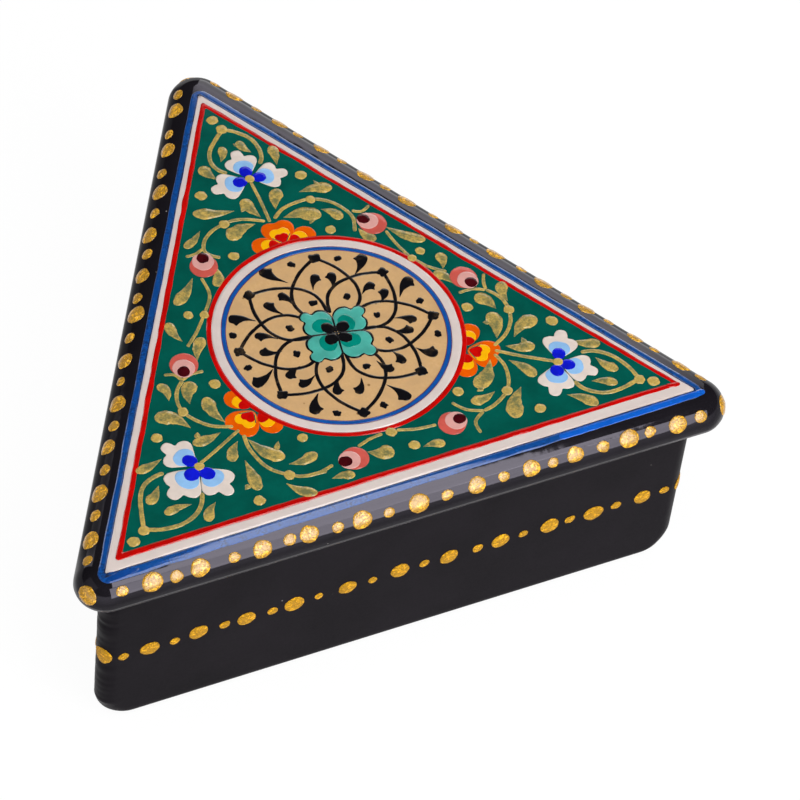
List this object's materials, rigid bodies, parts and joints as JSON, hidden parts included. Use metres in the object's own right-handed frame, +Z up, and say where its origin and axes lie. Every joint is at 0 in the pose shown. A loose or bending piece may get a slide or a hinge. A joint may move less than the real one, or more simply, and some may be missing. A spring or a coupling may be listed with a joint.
{
  "type": "kashmiri papier mache box",
  "caption": "Triangular lacquered papier mache box with a lift-off lid, overhanging rounded rim, painted floral border, round medallion and raised gold dots.",
  "frame": {"origin": "on the table plane under the middle of the triangle", "axes": "+X along the front side, +Y towards the back corner, +Z up through the lid"},
  "size_m": [0.1126, 0.0989, 0.0411],
  "materials": {
    "black_lacquer_base": "satin",
    "black_lacquer_lid": "gloss",
    "gold_paint_wall": "satin",
    "gold_paint_rim": "gloss",
    "blue_paint": "gloss",
    "white_paint": "gloss",
    "red_paint": "gloss",
    "green_paint": "gloss",
    "tan_gold_paint": "gloss",
    "teal_paint": "gloss",
    "black_brush_line": "gloss",
    "petal_white_paint": "gloss",
    "heart_blue_paint": "gloss",
    "gold_brush_paint": "gloss",
    "orange_paint": "gloss",
    "coral_paint": "gloss",
    "maroon_paint": "gloss"
  },
  "bodies": {
    "base": {"base_shell": "black_lacquer_base", "wall_large_dots": "gold_paint_wall", "wall_small_dots": "gold_paint_wall"},
    "lid": {"lid_shell": "black_lacquer_lid", "border_blue_line": "blue_paint", "border_white_band": "white_paint", "border_red_line": "red_paint", "green_field": "green_paint", "medallion_red_ring": "red_paint", "medallion_white_ring": "white_paint", "medallion_blue_ring": "blue_paint", "medallion_tan_ground": "tan_gold_paint", "medallion_flower": "teal_paint", "medallion_flower_eyes": "black_brush_line", "medallion_petal_lines": "black_brush_line", "medallion_teardrops": "black_brush_line", "corner_flower_petals": "petal_white_paint", "corner_flower_hearts": "heart_blue_paint", "corner_flower_buttons": "gold_brush_paint", "rim_rosettes": "orange_paint", "rose_buds": "coral_paint", "rose_bud_mouths": "maroon_paint", "gold_stems": "gold_brush_paint", "gold_leaves": "gold_brush_paint", "gold_spots": "gold_brush_paint", "rim_large_dots": "gold_paint_rim", "rim_small_dots": "gold_paint_rim"}
  },
  "joints": [
    {"name": "lid_lift", "type": "slide", "parent": "base", "child": "lid", "axis": [0, 0, 1], "range_m": [0, 0.06]}
  ]
}
